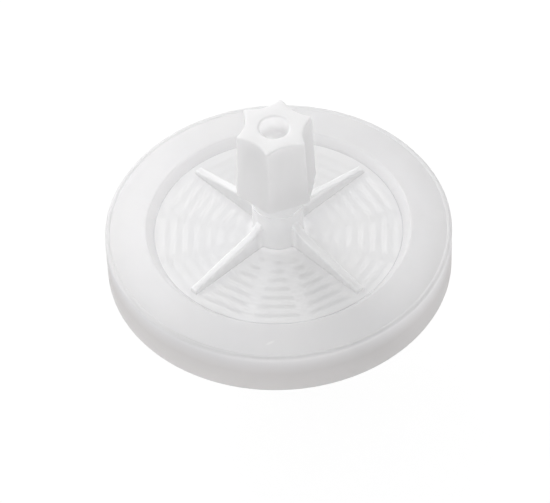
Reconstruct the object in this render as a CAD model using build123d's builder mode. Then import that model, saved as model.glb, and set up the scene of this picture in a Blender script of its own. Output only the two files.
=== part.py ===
from build123d import *
import os
from math import cos, radians, sin, tan

# In-line disc filter with a screwed tube port on each side.
# Millimetres, +Z up along the flow axis, origin at the middle of the disc.

# filter element, clamped between the two half shells
element_dia = 50.0
membrane_thickness = 0.25
screen_thickness = 0.45
element_clearance = 0.25          # between the element's edge and the weld lands

# half shell: window plate, clamp ring and weld land
plate_thickness = 1.5
plate_top = 3.45                  # height of the window's outer face above the middle
window_inset = 3.45               # the window is this much smaller in radius than the element
clamp_width = 2.7
land_width = 2.15

# support web inside each shell: twelve fields of straight bars
web_fields = 12
web_pitch = 2.03
web_bar_width = 0.95
web_edge_gap = 1.25               # from the window's edge to the middle of the outermost bars
web_inner_reach = 6.0             # no bars nearer to the axis than this
web_channel = 2.1                 # radial channels between the fields

# port: boss, threaded neck and tube nipple; it stands on the gusseted boss of the shell
neck_dia = 8.5
neck_length = 10.1
boss_step = 0.15                  # the boss stands out this much round the neck
boss_height = 7.65
nipple_dia = 3.3
nipple_tip_dia = 2.7
nipple_length = 3.3
lumen_dia = 2.0

# gussets between the boss and the window
gusset_count = 4
gusset_first_angle = 45.0
gusset_thickness = 1.5
gusset_edge_gap = 1.4             # from the window's edge to the gusset's blunt end
gusset_root_height = 5.3
gusset_end_height = 0.7
gusset_sweep_reach = 2.8          # the crest sweeps up to the boss over this much radius
gusset_sweep_height = 3.55        # and starts to sweep this far above the window
gusset_crest_radius = 0.35
gusset_boss_fillet = 0.7
gusset_fillet_drop = 1.2          # the fillets at the boss end this far below the root's top

# moulded sealing band round both flanges
band_wall = 2.6
band_edge_rise = 0.7              # its outer edge stands this far above the window's face
band_crown_rise = 1.45            # and its inner edge this far
band_crown_setback = 1.3          # width of the slope down to the window
band_crown_radius = 0.35
band_bead_width = 0.9             # rounded bead along the upper outer edge
band_bead_sink = 0.18             # the face beside the bead lies this much lower
band_bead_height = 0.95
band_undercut = 0.25              # the wall starts this far in under the bead
band_swell = 0.2                  # and comes out again down to the mould seam
band_seam_step = 0.05
band_foot_radius = 0.2

# compression nut and the tube that it takes
nut_gap = 4.2                     # free neck between the boss and the nut
nut_sides = 6
nut_wall = 2.95                   # from the bore to the corners
nut_flute_depth = 1.2
nut_corner_radius = 0.5
nut_end_radius = 0.3
nut_turn = 21.1                   # how far the corners stand round from +X
nut_bore_clearance = 0.06         # radial running clearance on the neck
nut_bore_past_neck = 0.5
tube_dia = 5.0
tube_clearance = 0.05             # radial, between the tube and its hole
tube_cone_length = 3.0
tube_hole_length = 4.5
tube_hole_radius = 0.4            # rounded mouth of the tube hole

stack_half = (membrane_thickness + screen_thickness) / 2
plate_bottom = plate_top - plate_thickness
window_dia = element_dia - 2 * window_inset
clamp_outer_dia = element_dia + 2 * element_clearance
clamp_inner_dia = clamp_outer_dia - 2 * clamp_width
flange_dia = clamp_outer_dia + 2 * land_width
band_dia = flange_dia + 2 * band_wall
boss_dia = neck_dia + 2 * boss_step
boss_top = plate_top + boss_height
neck_top = boss_top + neck_length
nipple_top = neck_top + nipple_length
gusset_reach = window_dia / 2 - gusset_edge_gap
gusset_top = plate_top + gusset_root_height
nut_bore_dia = neck_dia + 2 * nut_bore_clearance
nut_corner_dia = nut_bore_dia + 2 * nut_wall
nut_bottom = boss_top + nut_gap
cone_foot = neck_top + nut_bore_past_neck
cone_top = cone_foot + tube_cone_length
nut_top = cone_top + tube_hole_length
tube_hole_dia = tube_dia + 2 * tube_clearance


def shell_section():
    """Half section of window plate, clamp ring, weld land and lower boss."""
    return [
        (lumen_dia / 2, plate_bottom),
        (clamp_inner_dia / 2, plate_bottom),
        (clamp_inner_dia / 2, stack_half),
        (clamp_outer_dia / 2, stack_half),
        (clamp_outer_dia / 2, 0),
        (flange_dia / 2, 0),
        (flange_dia / 2, plate_top),
        (boss_dia / 2, plate_top),
        (boss_dia / 2, gusset_top),
        (lumen_dia / 2, gusset_top),
    ]


def port_section():
    """Half section of upper boss, neck and tube nipple."""
    return [
        (lumen_dia / 2, gusset_top),
        (boss_dia / 2, gusset_top),
        (boss_dia / 2, boss_top),
        (neck_dia / 2, boss_top),
        (neck_dia / 2, neck_top),
        (nipple_dia / 2, neck_top),
        (nipple_dia / 2, (neck_top + nipple_top) / 2),
        (nipple_tip_dia / 2, nipple_top),
        (lumen_dia / 2, nipple_top),
    ]


def web_bars():
    """Reach and length of the bars in one field, outermost first."""
    spread = 2 * tan(radians(180 / web_fields))
    reach = window_dia / 2 - web_edge_gap
    bars = []
    while reach > web_inner_reach:
        length = reach * spread - web_channel
        if length > web_bar_width:
            bars.append((reach, length))
        reach -= web_pitch
    return bars


def gusset_arm():
    """Upright arm along +X; its rounded crest falls straight, after a sweep off the boss."""
    foot = plate_top - plate_thickness / 2
    side = gusset_thickness / 2
    root = Vector(boss_dia / 2, gusset_top)
    sweep = Vector(boss_dia / 2 + gusset_sweep_reach, plate_top + gusset_sweep_height)
    end = Vector(gusset_reach, plate_top + gusset_end_height)
    with BuildPart() as arm:
        with BuildSketch(Plane.XZ):
            with BuildLine():
                Polyline(root, (0, gusset_top), (0, foot), (gusset_reach, foot), end, sweep)
                TangentArc(sweep, root, tangent=sweep - end)
            make_face()
        extrude(amount=side, both=True)
        flanks = arm.faces().filter_by(Axis.Y).edges()
        fillet(flanks.filter_by(lambda edge: edge.center().Z > end.Y), radius=gusset_crest_radius)
    return arm


def gusset_roots():
    """Filleted corners between the boss and the flanks of the arms."""
    foot = plate_top - plate_thickness / 2
    reach = boss_dia / 2 + gusset_boss_fillet
    inner = reach - gusset_boss_fillet / 2
    with BuildPart() as roots:
        with BuildSketch(Plane.XY.offset(foot)) as plan:
            Circle(boss_dia / 2)
            with PolarLocations(0, gusset_count, start_angle=gusset_first_angle):
                Rectangle(reach, gusset_thickness, align=(Align.MIN, Align.CENTER))
            corners = plan.vertices().filter_by(lambda v: Vector(v.X, v.Y).length < inner)
            fillet(corners, radius=gusset_boss_fillet)
        extrude(amount=gusset_top - gusset_fillet_drop - foot)
    return roots


def half_shell(label):
    with BuildPart() as shell:
        with BuildSketch(Plane.XZ):
            with BuildLine():
                Polyline(*shell_section(), close=True)
            make_face()
        revolve(axis=Axis.Z)
        add(gusset_roots().part)
        arm = gusset_arm().part
        for number in range(gusset_count):
            add(arm.rotate(Axis.Z, gusset_first_angle + number * 360 / gusset_count))
        # support web under the plate
        with BuildSketch(Plane.XY.offset(plate_bottom)):
            with PolarLocations(0, web_fields):
                for reach, length in web_bars():
                    with Locations((reach, 0)):
                        Rectangle(web_bar_width, length)
        extrude(amount=stack_half - plate_bottom)
        with BuildSketch(Plane.XY):
            Circle(lumen_dia / 2)
        extrude(amount=gusset_top, mode=Mode.SUBTRACT)
    shell.part.label = label
    return shell


def port(label):
    with BuildPart() as tube:
        with BuildSketch(Plane.XZ):
            with BuildLine():
                Polyline(*port_section(), close=True)
            make_face()
        revolve(axis=Axis.Z)
    tube.part.label = label
    return tube


def turned_over(piece, label):
    with BuildPart() as other:
        add(piece.part.rotate(Axis.X, 180))
    other.part.label = label
    return other


def bead_arc(rim, edge):
    """Rounded outline of the bead, from the band's face over to its outer side."""
    radius = band_bead_width / 2
    middle = rim - radius
    low = edge - radius
    ThreePointArc((rim - band_bead_width, edge - band_bead_sink), (middle, edge), (rim, low))


def sealing_band():
    """Ring moulded over both flanges, with a bead along its upper outer edge."""
    rim = band_dia / 2
    face_end = rim - band_bead_width
    wall = rim - band_undercut
    seam = wall + band_swell
    window = window_dia / 2
    crown = window + band_crown_setback
    flange = flange_dia / 2
    edge = plate_top + band_edge_rise
    top = plate_top + band_crown_rise
    with BuildPart() as band:
        with BuildSketch(Plane.XZ):
            with BuildLine():
                Polyline((window, plate_top), (crown, top), (face_end, edge - band_bead_sink))
                bead_arc(rim, edge)
                Polyline(
                    (rim, edge - band_bead_width / 2),
                    (rim, edge - band_bead_height),
                    (wall, edge - band_bead_height),
                    (seam, 0),
                    (seam - band_seam_step, 0),
                    (seam - band_seam_step, -edge),
                    (crown, -top),
                    (window, -plate_top),
                    (flange, -plate_top),
                    (flange, plate_top),
                    (window, plate_top),
                )
            make_face()
        revolve(axis=Axis.Z)
        circles = band.edges().filter_by(GeomType.CIRCLE)
        crowns = circles.filter_by(lambda circle: abs(circle.radius - crown) < band_seam_step)
        fillet(crowns, radius=band_crown_radius)
        circles = band.edges().filter_by(GeomType.CIRCLE)
        foot = circles.filter_by(lambda circle: abs(circle.center().Z + edge) < band_seam_step)
        fillet(foot, radius=band_foot_radius)
    band.part.label = "sealing_band"
    return band


def element_disc(label, low, high):
    """Round sheet lying between two heights in the clamp."""
    with BuildPart() as disc:
        with BuildSketch(Plane.XY.offset(low)):
            Circle(element_dia / 2)
        extrude(amount=high - low)
    disc.part.label = label
    return disc


def nut_point(reach, number):
    """Point on a spoke; whole numbers are the corners."""
    angle = radians(nut_turn + number * 360 / nut_sides)
    return Vector(reach * cos(angle), reach * sin(angle))


def nut_outline(depth):
    """Hexagon whose sides are hollowed by the depth; straight sides at none."""
    corner = nut_corner_dia / 2
    waist = corner * cos(radians(180 / nut_sides)) - depth
    for number in range(nut_sides):
        start = nut_point(corner, number)
        end = nut_point(corner, number + 1)
        if depth > 0:
            ThreePointArc(start, nut_point(waist, number + 0.5), end)
        else:
            Line(start, end)


def compression_nut(label):
    with BuildPart() as nut:
        with BuildSketch(Plane.XY.offset(nut_bottom)) as foot:
            with BuildLine():
                nut_outline(0)
            make_face()
            fillet(foot.vertices(), radius=nut_corner_radius)
        with BuildSketch(Plane.XY.offset(nut_top)) as end:
            with BuildLine():
                nut_outline(nut_flute_depth)
            make_face()
            fillet(end.vertices(), radius=nut_corner_radius)
        loft(ruled=True)
        fillet(nut.faces().sort_by(Axis.Z)[-1].edges(), radius=nut_end_radius)
        bore = nut_bore_dia / 2
        hole = tube_hole_dia / 2
        with BuildSketch(Plane.XZ):
            with BuildLine():
                Polyline(
                    (0, nut_bottom),
                    (bore, nut_bottom),
                    (bore, cone_foot),
                    (hole, cone_top),
                    (hole, nut_top),
                    (0, nut_top),
                    close=True,
                )
            make_face()
        revolve(axis=Axis.Z, mode=Mode.SUBTRACT)
        mouth = nut.faces().sort_by(Axis.Z)[-1].edges().filter_by(GeomType.CIRCLE)
        mouth = mouth.sort_by(lambda edge: Vector(edge.center().X, edge.center().Y).length)[0]
        fillet(mouth, radius=tube_hole_radius)
    nut.part.label = label
    return nut


inlet_shell = half_shell("inlet_shell")
outlet_shell = turned_over(inlet_shell, "outlet_shell")
inlet_port = port("inlet_port")
outlet_port = turned_over(inlet_port, "outlet_port")
band = sealing_band()
screen = element_disc("support_screen", -stack_half, screen_thickness - stack_half)
membrane = element_disc("filter_membrane", screen_thickness - stack_half, stack_half)
inlet_nut = compression_nut("inlet_nut")
outlet_nut = turned_over(inlet_nut, "outlet_nut")

os.makedirs("parts", exist_ok=True)
shells = (inlet_shell, outlet_shell, inlet_port, outlet_port)
for piece in (*shells, band, screen, membrane, inlet_nut, outlet_nut):
    export_step(piece.part, "parts/" + piece.part.label + ".step")
    print(piece.part.label, "volume", round(piece.part.volume, 1), "solids", len(piece.part.solids()))
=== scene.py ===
import math

import bpy
from mathutils import Matrix, Vector


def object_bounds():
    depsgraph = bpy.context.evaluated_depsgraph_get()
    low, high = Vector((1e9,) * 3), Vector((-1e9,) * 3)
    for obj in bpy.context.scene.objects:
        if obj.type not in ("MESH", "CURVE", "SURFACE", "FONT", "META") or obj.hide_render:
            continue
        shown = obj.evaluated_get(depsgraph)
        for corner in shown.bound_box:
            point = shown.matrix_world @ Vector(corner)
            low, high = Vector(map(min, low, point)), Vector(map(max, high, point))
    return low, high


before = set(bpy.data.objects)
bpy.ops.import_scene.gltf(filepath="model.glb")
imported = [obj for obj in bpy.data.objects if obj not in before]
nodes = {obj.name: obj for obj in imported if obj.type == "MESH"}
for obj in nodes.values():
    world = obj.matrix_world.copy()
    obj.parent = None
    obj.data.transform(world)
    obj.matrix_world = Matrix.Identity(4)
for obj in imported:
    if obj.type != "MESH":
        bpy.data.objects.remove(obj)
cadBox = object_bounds()
mm = 0.001
print("stage: frame loaded,", len(nodes), "nodes")


# ---- camera: looks down on the disc from the front
camera = {
    "target": Vector((0, 0, 4.15 * mm)),
    "elevation": 47.31,
    "azimuth": 2.8,
    "roll": -2.4,
    "distance": 800 * mm,
    "sideStep": 0.57 * mm,
    "rise": 4.03 * mm,
    "lens": 303.3,
    "sensorWidth": 36,
    "nearest": 50 * mm,
    "furthest": 20,
}


def placeCamera():
    tilt = math.radians(camera["elevation"])
    turn = Matrix.Rotation(math.radians(camera["azimuth"]), 3, "Z")
    roll = math.radians(camera["roll"])
    forward = turn @ Vector((0, math.cos(tilt), -math.sin(tilt)))
    right = turn @ Vector((1, 0, 0))
    up = turn @ Vector((0, math.sin(tilt), math.cos(tilt)))
    rolledRight = right * math.cos(roll) + up * math.sin(roll)
    rolledUp = up * math.cos(roll) - right * math.sin(roll)
    data = bpy.data.cameras.new("camera")
    data.lens = camera["lens"]
    data.sensor_width = camera["sensorWidth"]
    data.clip_start = camera["nearest"]
    data.clip_end = camera["furthest"]
    obj = bpy.data.objects.new("camera", data)
    bpy.context.scene.collection.objects.link(obj)
    axes = Matrix((rolledRight, rolledUp, -forward)).transposed()
    obj.matrix_world = axes.to_4x4()
    obj.location = (camera["target"] - forward * camera["distance"]
                    - rolledRight * camera["sideStep"] - rolledUp * camera["rise"])
    bpy.context.scene.camera = obj


placeCamera()


# ---- light: big soft key from behind on the left, in a pale room that is brightest on the left
studio = {
    "keyFrom": (-0.16, 0.25, 0.25),
    "keySize": 0.22,
    "keyWatts": 0.66,
    "roomFrom": (-0.8, 0.1, 0.6),
    "roomLow": 0.33,
    "roomHigh": 0.98,
    "floorColor": (0.6, 0.6, 0.6, 1),
    "floorWhite": 0.88,
    "floorGlow": 1.08,
    "floorSize": 6.0,
    "floorDrop": 0.02 * mm,
}


def addLamp(name, place, size, watts):
    data = bpy.data.lights.new(name, "AREA")
    data.shape = "DISK"
    data.size = size
    data.energy = watts
    obj = bpy.data.objects.new(name, data)
    obj.location = place
    obj.rotation_mode = "QUATERNION"
    obj.rotation_quaternion = (-Vector(place)).to_track_quat("-Z", "Y")
    bpy.context.scene.collection.objects.link(obj)


def makeRoom():
    # brightness follows the direction, and the eye sees plain white
    world = bpy.data.worlds.new("room")
    world.use_nodes = True
    bpy.context.scene.world = world
    tree = world.node_tree
    tree.nodes.clear()
    out = tree.nodes.new("ShaderNodeOutputWorld")
    mix = tree.nodes.new("ShaderNodeMixShader")
    room = tree.nodes.new("ShaderNodeBackground")
    seen = tree.nodes.new("ShaderNodeBackground")
    path = tree.nodes.new("ShaderNodeLightPath")
    room.inputs["Color"].default_value = (1, 1, 1, 1)
    side = tree.nodes.new("ShaderNodeVectorMath")
    side.operation = "DOT_PRODUCT"
    side.inputs[1].default_value = studio["roomFrom"]
    ramp = tree.nodes.new("ShaderNodeMapRange")
    ramp.inputs["From Min"].default_value = -1
    ramp.inputs["To Min"].default_value = studio["roomLow"]
    ramp.inputs["To Max"].default_value = studio["roomHigh"]
    tree.links.new(tree.nodes.new("ShaderNodeTexCoord").outputs["Generated"], side.inputs[0])
    tree.links.new(side.outputs["Value"], ramp.inputs["Value"])
    tree.links.new(ramp.outputs["Result"], room.inputs["Strength"])
    seen.inputs["Color"].default_value = (1, 1, 1, 1)
    tree.links.new(path.outputs["Is Camera Ray"], mix.inputs["Fac"])
    tree.links.new(room.outputs[0], mix.inputs[1])
    tree.links.new(seen.outputs[0], mix.inputs[2])
    tree.links.new(mix.outputs[0], out.inputs["Surface"])


def makeFloor():
    low = cadBox[0].z - studio["floorDrop"]
    half = studio["floorSize"] / 2
    mesh = bpy.data.meshes.new("floor")
    corners = [(-half, -half, low), (half, -half, low), (half, half, low), (-half, half, low)]
    mesh.from_pydata(corners, [], [(0, 1, 2, 3)])
    floor = bpy.data.objects.new("floor", mesh)
    bpy.context.scene.collection.objects.link(floor)
    paint = bpy.data.materials.new("floorPaint")
    paint.use_nodes = True
    tree = paint.node_tree
    tree.nodes.clear()
    out = tree.nodes.new("ShaderNodeOutputMaterial")
    mix = tree.nodes.new("ShaderNodeMixShader")
    matte = tree.nodes.new("ShaderNodeBsdfDiffuse")
    glow = tree.nodes.new("ShaderNodeEmission")
    path = tree.nodes.new("ShaderNodeLightPath")
    share = tree.nodes.new("ShaderNodeMath")
    share.operation = "MULTIPLY"
    share.inputs[1].default_value = studio["floorWhite"]
    matte.inputs["Color"].default_value = studio["floorColor"]
    glow.inputs["Strength"].default_value = studio["floorGlow"]
    tree.links.new(path.outputs["Is Camera Ray"], share.inputs[0])
    tree.links.new(share.outputs[0], mix.inputs["Fac"])
    tree.links.new(matte.outputs[0], mix.inputs[1])
    tree.links.new(glow.outputs[0], mix.inputs[2])
    # from underneath the eye sees through the floor
    below = tree.nodes.new("ShaderNodeMath")
    below.operation = "MULTIPLY"
    clear = tree.nodes.new("ShaderNodeBsdfTransparent")
    pane = tree.nodes.new("ShaderNodeMixShader")
    tree.links.new(path.outputs["Is Camera Ray"], below.inputs[0])
    tree.links.new(tree.nodes.new("ShaderNodeNewGeometry").outputs["Backfacing"], below.inputs[1])
    tree.links.new(below.outputs[0], pane.inputs["Fac"])
    tree.links.new(mix.outputs[0], pane.inputs[1])
    tree.links.new(clear.outputs[0], pane.inputs[2])
    tree.links.new(pane.outputs[0], out.inputs["Surface"])
    mesh.materials.append(paint)


addLamp("keyLamp", studio["keyFrom"], studio["keySize"], studio["keyWatts"])
makeRoom()
makeFloor()
bpy.context.scene.view_settings.view_transform = "Standard"
print("stage: camera and studio placed")


# ---- shared effects, as node groups
def newGroup(name, inputs, outputs):
    group = bpy.data.node_groups.new(name, "ShaderNodeTree")
    for label, kind, value in inputs:
        socket = group.interface.new_socket(label, in_out="INPUT", socket_type=kind)
        socket.default_value = value
    for label, kind in outputs:
        group.interface.new_socket(label, in_out="OUTPUT", socket_type=kind)
    start = group.nodes.new("NodeGroupInput")
    end = group.nodes.new("NodeGroupOutput")
    return group, start, end


def feed(tree, value, socket):
    # a plain value is set on the socket itself, and what varies is linked
    if isinstance(value, bpy.types.NodeSocket):
        tree.links.new(value, socket)
    else:
        socket.default_value = value


def addGroup(tree, group, values):
    # places a group in a tree with its own values
    node = tree.nodes.new("ShaderNodeGroup")
    node.node_tree = group
    for label, value in values.items():
        node.inputs[label].default_value = value
    return node.outputs


noiseDetail = {"grain": 2.0, "ripple": 3.0, "cloud": 4.0}


def addPlace(tree):
    return tree.nodes.new("ShaderNodeTexCoord").outputs["Object"]


def addAxes(tree, vector):
    split = tree.nodes.new("ShaderNodeSeparateXYZ")
    tree.links.new(vector, split.inputs[0])
    return split.outputs


def addMath(tree, operation, first, second=None):
    node = tree.nodes.new("ShaderNodeMath")
    node.operation = operation
    feed(tree, first, node.inputs[0])
    if second is not None:
        feed(tree, second, node.inputs[1])
    return node.outputs[0]


def addReach(tree, axes):
    # distance from the axis through the ports
    across = addMath(tree, "MULTIPLY", axes["X"], axes["X"])
    along = addMath(tree, "MULTIPLY", axes["Y"], axes["Y"])
    return addMath(tree, "SQRT", addMath(tree, "ADD", across, along))


def addNoise(tree, place, scale, detail):
    node = tree.nodes.new("ShaderNodeTexNoise")
    node.inputs["Detail"].default_value = detail
    feed(tree, place, node.inputs["Vector"])
    feed(tree, scale, node.inputs["Scale"])
    return node.outputs["Fac"]


def addRange(tree, value, low, high):
    node = tree.nodes.new("ShaderNodeMapRange")
    feed(tree, value, node.inputs["Value"])
    feed(tree, low, node.inputs["From Min"])
    feed(tree, high, node.inputs["From Max"])
    return node.outputs["Result"]


def addColorMix(tree, share, first, second):
    node = tree.nodes.new("ShaderNodeMix")
    node.data_type = "RGBA"
    feed(tree, share, node.inputs[0])
    feed(tree, first, node.inputs[6])
    feed(tree, second, node.inputs[7])
    return node.outputs[2]


def addFloatMix(tree, share, first, second):
    node = tree.nodes.new("ShaderNodeMix")
    feed(tree, share, node.inputs[0])
    feed(tree, first, node.inputs[2])
    feed(tree, second, node.inputs[3])
    return node.outputs[0]


def makeMouldedSkin():
    # fine spark-eroded grain and slow ripples of a moulded surface, as height and roughness
    group, start, end = newGroup(
        "mouldedSkin",
        [("Grain Scale", "NodeSocketFloat", 9000.0), ("Ripple Scale", "NodeSocketFloat", 160.0),
         ("Ripple Share", "NodeSocketFloat", 0.6), ("Roughness", "NodeSocketFloat", 0.35),
         ("Roughness Spread", "NodeSocketFloat", 0.1)],
        [("Height", "NodeSocketFloat"), ("Roughness", "NodeSocketFloat")])
    place = addPlace(group)
    grain = addNoise(group, place, start.outputs["Grain Scale"], noiseDetail["grain"])
    ripple = addNoise(group, place, start.outputs["Ripple Scale"], noiseDetail["ripple"])
    swell = addMath(group, "MULTIPLY", ripple, start.outputs["Ripple Share"])
    group.links.new(addMath(group, "ADD", grain, swell), end.inputs["Height"])
    shift = addMath(group, "SUBTRACT", ripple, 0.5)
    spread = addMath(group, "MULTIPLY", shift, start.outputs["Roughness Spread"])
    group.links.new(addMath(group, "ADD", start.outputs["Roughness"], spread), end.inputs["Roughness"])
    return group


def makeLevelMask():
    # picks the flat faces that lie at one height above or below the middle, and all nearer to it
    group, start, end = newGroup(
        "levelMask",
        [("Level", "NodeSocketFloat", -1.0), ("Tolerance", "NodeSocketFloat", 0.02 * mm)],
        [("Mask", "NodeSocketFloat"), ("Below", "NodeSocketFloat")])
    axes = addAxes(group, addPlace(group))
    height = addMath(group, "ABSOLUTE", axes["Z"])
    away = addMath(group, "ABSOLUTE", addMath(group, "SUBTRACT", height, start.outputs["Level"]))
    group.links.new(addMath(group, "LESS_THAN", away, start.outputs["Tolerance"]), end.inputs["Mask"])
    under = addMath(group, "SUBTRACT", start.outputs["Level"], start.outputs["Tolerance"])
    group.links.new(addMath(group, "LESS_THAN", height, under), end.inputs["Below"])
    return group


def makeCrossQuadrants():
    # the quarters before and behind the middle, where the web's bars run from side to side: the mask
    # for the web's painted shade, full in front and weaker behind
    group, start, end = newGroup(
        "crossQuadrants",
        [("Blend", "NodeSocketFloat", 2 * mm), ("Behind", "NodeSocketFloat", 0.75)],
        [("Mask", "NodeSocketFloat")])
    axes = addAxes(group, addPlace(group))
    along = addMath(group, "ABSOLUTE", axes["Y"])
    across = addMath(group, "ABSOLUTE", axes["X"])
    lead = addMath(group, "SUBTRACT", along, across)
    quarter = addRange(group, lead, 0.0, start.outputs["Blend"])
    behind = addMath(group, "GREATER_THAN", axes["Y"], 0.0)
    strength = addFloatMix(group, behind, 1.0, start.outputs["Behind"])
    group.links.new(addMath(group, "MULTIPLY", quarter, strength), end.inputs["Mask"])
    return group


def makeSeamRing():
    # thin dark line where the band's edge meets the window: the joint line, deepened with painted
    # shade
    group, start, end = newGroup(
        "seamRing",
        [("Radius", "NodeSocketFloat", 1.0), ("Half Width", "NodeSocketFloat", 0.15 * mm)],
        [("Mask", "NodeSocketFloat")])
    axes = addAxes(group, addPlace(group))
    reach = addReach(group, axes)
    away = addMath(group, "ABSOLUTE", addMath(group, "SUBTRACT", reach, start.outputs["Radius"]))
    near = addRange(group, away, start.outputs["Half Width"], 0.0)
    group.links.new(near, end.inputs["Mask"])
    return group


def makeGateMark():
    # short vestige where the band's plastic was let into the mould, as a mask for its lighter tone and
    # a painted glow
    group, start, end = newGroup(
        "gateMark",
        [("Place", "NodeSocketVector", (0, 0, 0)), ("Turn", "NodeSocketVector", (0, 0, 0)),
         ("Size", "NodeSocketVector", (1, 1, 1))],
        [("Mask", "NodeSocketFloat")])
    shift = group.nodes.new("ShaderNodeMapping")
    shift.vector_type = "TEXTURE"
    group.links.new(addPlace(group), shift.inputs["Vector"])
    group.links.new(start.outputs["Place"], shift.inputs["Location"])
    group.links.new(start.outputs["Turn"], shift.inputs["Rotation"])
    group.links.new(start.outputs["Size"], shift.inputs["Scale"])
    length = group.nodes.new("ShaderNodeVectorMath")
    length.operation = "LENGTH"
    group.links.new(shift.outputs["Vector"], length.inputs[0])
    group.links.new(addRange(group, length.outputs["Value"], 1.0, 0.5), end.inputs["Mask"])
    return group


def makeMouthGlow():
    # painted glow for the light that soaks into a bore's wall through the material round it, most near
    # the mouth
    group, start, end = newGroup(
        "mouthGlow",
        [("Bore Radius", "NodeSocketFloat", 2.6 * mm), ("Deep", "NodeSocketFloat", 25.8 * mm),
         ("Mouth", "NodeSocketFloat", 27.2 * mm), ("Deep Glow", "NodeSocketFloat", 0.1),
         ("Mouth Glow", "NodeSocketFloat", 0.2)],
        [("Glow", "NodeSocketFloat")])
    axes = addAxes(group, addPlace(group))
    reach = addReach(group, axes)
    inside = addMath(group, "LESS_THAN", reach, start.outputs["Bore Radius"])
    height = addMath(group, "ABSOLUTE", axes["Z"])
    rise = addRange(group, height, start.outputs["Deep"], start.outputs["Mouth"])
    glow = addFloatMix(group, rise, start.outputs["Deep Glow"], start.outputs["Mouth Glow"])
    group.links.new(addMath(group, "MULTIPLY", glow, inside), end.inputs["Glow"])
    return group


def makeStandingRibs():
    # upright walls that rise above a height from the middle, the mask for a painted glow
    group, start, end = newGroup(
        "standingRibs",
        [("Start", "NodeSocketFloat", 1.0), ("Rise", "NodeSocketFloat", 0.3 * mm),
         ("Lean", "NodeSocketFloat", 0.35)],
        [("Mask", "NodeSocketFloat")])
    axes = addAxes(group, addPlace(group))
    height = addMath(group, "ABSOLUTE", axes["Z"])
    top = addMath(group, "ADD", start.outputs["Start"], start.outputs["Rise"])
    rise = addRange(group, height, start.outputs["Start"], top)
    facing = addAxes(group, group.nodes.new("ShaderNodeNewGeometry").outputs["Normal"])
    flat = addMath(group, "ABSOLUTE", facing["Z"])
    upright = addRange(group, addMath(group, "SUBTRACT", 1.0, flat), 0.0, start.outputs["Lean"])
    group.links.new(addMath(group, "MULTIPLY", rise, upright), end.inputs["Mask"])
    return group


def makeMilkiness():
    # natural polypropylene: cloudy streaks between two tones, with painted shade that makes it darker
    # low down
    group, start, end = newGroup(
        "milkiness",
        [("Thin Tone", "NodeSocketColor", (0.93, 0.93, 0.95, 1)),
         ("Thick Tone", "NodeSocketColor", (0.97, 0.97, 0.97, 1)),
         ("Low Shade Tone", "NodeSocketColor", (0.85, 0.84, 0.83, 1)),
         ("Cloud Scale", "NodeSocketFloat", 90.0), ("Cloud From", "NodeSocketFloat", 0.3),
         ("Cloud To", "NodeSocketFloat", 0.7), ("Low Height", "NodeSocketFloat", -1.0),
         ("High Height", "NodeSocketFloat", -0.9)],
        [("Color", "NodeSocketColor")])
    place = addPlace(group)
    axes = addAxes(group, place)
    cloud = addNoise(group, place, start.outputs["Cloud Scale"], noiseDetail["cloud"])
    cloudy = addRange(group, cloud, start.outputs["Cloud From"], start.outputs["Cloud To"])
    high = addRange(group, axes["Z"], start.outputs["Low Height"], start.outputs["High Height"])
    tone = addColorMix(group, cloudy, start.outputs["Thin Tone"], start.outputs["Thick Tone"])
    tone = addColorMix(group, high, start.outputs["Low Shade Tone"], tone)
    group.links.new(tone, end.inputs["Color"])
    return group


def makeWallAlpha():
    # thin walls are clearer than the thick middle round the axis
    group, start, end = newGroup(
        "wallAlpha",
        [("Clear Alpha", "NodeSocketFloat", 0.6), ("Milky Alpha", "NodeSocketFloat", 1.0),
         ("Milky Reach", "NodeSocketFloat", 5 * mm), ("Fade", "NodeSocketFloat", 1.3)],
        [("Alpha", "NodeSocketFloat")])
    axes = addAxes(group, addPlace(group))
    reach = addReach(group, axes)
    ramp = group.nodes.new("ShaderNodeMapRange")
    ramp.interpolation_type = "SMOOTHSTEP"
    group.links.new(reach, ramp.inputs["Value"])
    fadeEnd = addMath(group, "MULTIPLY", start.outputs["Milky Reach"], start.outputs["Fade"])
    group.links.new(fadeEnd, ramp.inputs["From Max"])
    group.links.new(start.outputs["Milky Reach"], ramp.inputs["From Min"])
    group.links.new(start.outputs["Milky Alpha"], ramp.inputs["To Min"])
    group.links.new(start.outputs["Clear Alpha"], ramp.inputs["To Max"])
    group.links.new(ramp.outputs["Result"], end.inputs["Alpha"])
    return group


mouldedSkin = makeMouldedSkin()
levelMask = makeLevelMask()
crossQuadrants = makeCrossQuadrants()
mouthGlow = makeMouthGlow()
seamRing = makeSeamRing()
gateMark = makeGateMark()
standingRibs = makeStandingRibs()
milkiness = makeMilkiness()
wallAlpha = makeWallAlpha()


# ---- materials; a look holds the keys of only those effects that its plastic has
def addWeb(tree, look):
    # gaps of the support web, and the bars' walls where the bars run from side to side, as masks for
    # painted shade
    levels = addGroup(tree, levelMask, {"Level": look["gapLevel"]})
    cross = addGroup(tree, crossQuadrants, {})["Mask"]
    barShade = addMath(tree, "MULTIPLY", levels["Below"], cross)
    return {"gap": levels["Mask"], "cross": cross, "barShade": barShade}


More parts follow.
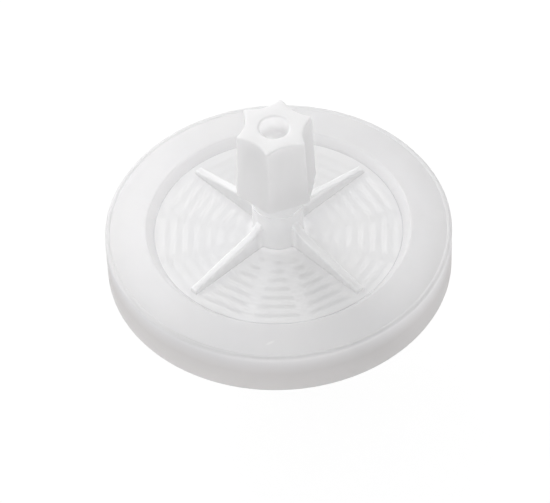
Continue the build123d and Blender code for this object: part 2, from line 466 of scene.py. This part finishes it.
def addTone(tree, look, web, gate):
    # colour of the plastic, with the painted shade of the support web and of the seam line, and the
    # gate mark
    tone = addGroup(tree, milkiness, {
        "Thin Tone": look["thinTone"], "Thick Tone": look["thickTone"], "Low Shade Tone": look["lowShadeTone"],
        "Cloud Scale": look["cloudScale"], "Low Height": look["lowHeight"],
        "High Height": look["highHeight"]})["Color"]
    if web:
        # painted shade: the gaps show through the window as darker fields, and in the quarters before
        # and behind the middle the gaps are lighter and the bars' walls darker
        gapShadeTone = addColorMix(tree, web["cross"], look["gapShadeTone"], look["quadrantGapShadeTone"])
        tone = addColorMix(tree, web["gap"], tone, gapShadeTone)
        tone = addColorMix(tree, web["barShade"], tone, look["barShadeTone"])
    if "seamRadius" in look:
        # the seam line, darkened with painted shade
        seam = addGroup(tree, seamRing, {"Radius": look["seamRadius"]})["Mask"]
        tone = addColorMix(tree, seam, tone, look["seamShadeTone"])
    if gate:
        tone = addColorMix(tree, gate, tone, look["gateTone"])
    return tone


def addWall(tree, look, web):
    # how solid a wall looks: milky round the ports, and full where the web stands
    wall = look["alpha"]
    if "thickReach" in look:
        wall = addGroup(tree, wallAlpha, {
            "Clear Alpha": look["alpha"], "Milky Alpha": look["alphaThick"],
            "Milky Reach": look["thickReach"]})["Alpha"]
    # the gap ceilings and bar walls that carry painted shade are drawn solid
    if web:
        wall = addFloatMix(tree, web["gap"], wall, look["gapAlpha"])
        wall = addFloatMix(tree, web["barShade"], wall, look["barAlpha"])
    return wall


def addPathAlpha(tree, look, wall):
    # light itself passes the milky walls more easily than the eye does
    if look["alphaLight"] == wall:
        return wall
    eye = tree.nodes.new("ShaderNodeLightPath").outputs["Is Camera Ray"]
    return addFloatMix(tree, eye, look["alphaLight"], wall)


def addGlow(tree, look, gate):
    # painted glow for light that spreads in the bore's mouth, in the thin ribs, on the band's upright
    # side and in the gate mark
    glows = []
    if "mouthGlow" in look:
        glows.append(addGroup(tree, mouthGlow, {
            "Deep Glow": look["deepGlow"], "Mouth Glow": look["mouthGlow"]})["Glow"])
    if "ribGlow" in look:
        ribs = addGroup(tree, standingRibs, {"Start": look["ribStart"], "Rise": look["ribRise"]})
        glows.append(addMath(tree, "MULTIPLY", ribs["Mask"], look["ribGlow"]))
    if gate:
        glows.append(addMath(tree, "MULTIPLY", gate, look["gateGlow"]))
    if not glows:
        return None
    glow = glows[0]
    for other in glows[1:]:
        glow = addMath(tree, "MAXIMUM", glow, other)
    return glow


def addSkin(tree, look, shader):
    skin = addGroup(tree, mouldedSkin, {
        "Roughness": look["roughness"], "Grain Scale": look["grainScale"]})
    bump = tree.nodes.new("ShaderNodeBump")
    bump.inputs["Distance"].default_value = look["grainHeight"]
    bump.inputs["Strength"].default_value = look["grainStrength"]
    tree.links.new(skin["Roughness"], shader.inputs["Roughness"])
    tree.links.new(skin["Height"], bump.inputs["Height"])
    tree.links.new(bump.outputs["Normal"], shader.inputs["Normal"])


def addPassing(tree, look, veilAlpha, shader):
    # share of the light that comes through from behind
    lit = tree.nodes.new("ShaderNodeBsdfTranslucent")
    clear = tree.nodes.new("ShaderNodeBsdfTransparent")
    veil = tree.nodes.new("ShaderNodeMixShader")
    join = tree.nodes.new("ShaderNodeMixShader")
    lit.inputs["Color"].default_value = look["passTone"]
    join.inputs["Fac"].default_value = look["passes"]
    feed(tree, veilAlpha, veil.inputs["Fac"])
    tree.links.new(clear.outputs[0], veil.inputs[1])
    tree.links.new(lit.outputs[0], veil.inputs[2])
    tree.links.new(shader.outputs[0], join.inputs[1])
    tree.links.new(veil.outputs[0], join.inputs[2])
    tree.links.new(join.outputs[0], tree.nodes["Material Output"].inputs["Surface"])


def makePlastic(name, look):
    mat = bpy.data.materials.new(name)
    mat.use_nodes = True
    tree = mat.node_tree
    shader = tree.nodes["Principled BSDF"]
    shader.inputs["IOR"].default_value = look["refraction"]
    shader.inputs["Specular IOR Level"].default_value = look["shine"]
    shader.inputs["Subsurface Weight"].default_value = look["scatter"]
    shader.inputs["Subsurface Radius"].default_value = (1, 1, 1)
    shader.inputs["Subsurface Scale"].default_value = look["scatterDepth"]

    web = addWeb(tree, look) if "gapLevel" in look else None
    gate = None
    if "gatePlace" in look:
        gate = addGroup(tree, gateMark, {
            "Place": look["gatePlace"], "Turn": look["gateTurn"], "Size": look["gateSize"]})["Mask"]
    feed(tree, addTone(tree, look, web, gate), shader.inputs["Base Color"])
    feed(tree, addPathAlpha(tree, look, addWall(tree, look, web)), shader.inputs["Alpha"])
    glow = addGlow(tree, look, gate)
    if glow:
        feed(tree, glow, shader.inputs["Emission Color"])
        shader.inputs["Emission Strength"].default_value = 1.0
    addSkin(tree, look, shader)
    addPassing(tree, look, addPathAlpha(tree, look, look["alpha"]), shader)
    return mat


def dress(names, mat):
    for name in names:
        mesh = nodes[name].data
        mesh.materials.clear()
        mesh.materials.append(mat)
        for face in mesh.polygons:
            face.material_index = 0


plainPlastic = {
    "thinTone": (0.93, 0.93, 0.95, 1),
    "thickTone": (0.97, 0.97, 0.97, 1),
    "cloudScale": 110.0,
    "lowShadeTone": (0.93, 0.93, 0.93, 1),
    "lowHeight": -1.0,
    "highHeight": -0.9,
    "alpha": 1.0,
    "alphaLight": 0.2,
    "passes": 0.4,
    "passTone": (0.96, 0.95, 0.96, 1),
    "scatter": 0.5,
    "scatterDepth": 1.0 * mm,
    "shine": 0.4,
    "roughness": 0.4,
    "grainScale": 7000.0,
    "grainHeight": 0.012 * mm,
    "grainStrength": 0.5,
    "refraction": 1.49,
}

shellPlastic = dict(
    plainPlastic,
    thinTone=(0.92, 0.92, 0.94, 1),
    thickTone=(0.97, 0.965, 0.965, 1),
    alpha=0.73,
    alphaThick=1.0,
    thickReach=4.6 * mm,
    # joint line where the band meets the window, darkened with painted shade
    seamRadius=21.5 * mm,
    seamShadeTone=(0.68, 0.67, 0.7, 1),
    # painted glow on the upright ribs, for light coming through them
    ribStart=3.5 * mm,
    ribRise=0.3 * mm,
    ribGlow=0.12,
    passes=0.17,
    # painted shade of the support web seen through the window
    gapLevel=1.95 * mm,
    gapShadeTone=(0.4, 0.4, 0.41, 1),
    quadrantGapShadeTone=(0.52, 0.52, 0.52, 1),
    gapAlpha=1.0,
    barShadeTone=(0.28, 0.28, 0.28, 1),
    barAlpha=1.0,
)

bandPlastic = dict(
    plainPlastic,
    thinTone=(0.925, 0.925, 0.965, 1),
    thickTone=(0.985, 0.975, 0.975, 1),
    cloudScale=90.0,
    # painted shade: the side wall and underside are darker and warmer low down
    lowShadeTone=(0.855, 0.825, 0.81, 1),
    lowHeight=0.2 * mm,
    highHeight=3.2 * mm,
    alpha=0.82,
    alphaLight=0.12,
    passes=0.5,
    # gate mark: lighter tone with a painted glow
    gatePlace=(-0.9 * mm, -26.6 * mm, 4.6 * mm),
    gateTurn=(0, 0, math.radians(28)),
    gateSize=(1.0 * mm, 0.3 * mm, 2.0 * mm),
    gateTone=(1, 1, 1, 1),
    gateGlow=0.12,
    # painted glow that lightens the band's upright side wall towards its top
    ribStart=0.0,
    ribRise=3.6 * mm,
    ribGlow=0.12,
    scatter=0.8,
    scatterDepth=1.6 * mm,
)

nutPlastic = dict(
    plainPlastic,
    thinTone=(0.985, 0.965, 0.975, 1),
    thickTone=(0.995, 0.98, 0.985, 1),
    cloudScale=150.0,
    passes=0.33,
    # painted glow in the bore, most near the mouth
    deepGlow=0.0,
    mouthGlow=0.22,
    scatter=1.0,
    scatterDepth=1.5 * mm,
    roughness=0.45,
    grainScale=8000.0,
    grainHeight=0.015 * mm,
)

membraneFilm = dict(
    plainPlastic,
    thinTone=(0.9, 0.9, 0.9, 1),
    thickTone=(0.95, 0.95, 0.94, 1),
    cloudScale=400.0,
    alphaLight=1.0,
    passes=0.1,
    scatter=0.0,
    shine=0.2,
    roughness=0.8,
    grainScale=20000.0,
    grainHeight=0.02 * mm,
)

shellNames = ("inlet_shell", "outlet_shell", "inlet_port", "outlet_port")
dress(shellNames, makePlastic("shellPlastic", shellPlastic))
dress(("sealing_band",), makePlastic("bandPlastic", bandPlastic))
dress(("inlet_nut", "outlet_nut"), makePlastic("nutPlastic", nutPlastic))
elementNames = ("filter_membrane", "support_screen")
dress(elementNames, makePlastic("membraneFilm", membraneFilm))
elementFit = {"clearance": 0.03 * mm}
for name in elementNames:
    # a hair's breadth off the web's feet
    shrink = nodes[name].modifiers.new("clearance", "DISPLACE")
    shrink.mid_level = 0
    shrink.strength = -elementFit["clearance"]
print("stage: materials made")
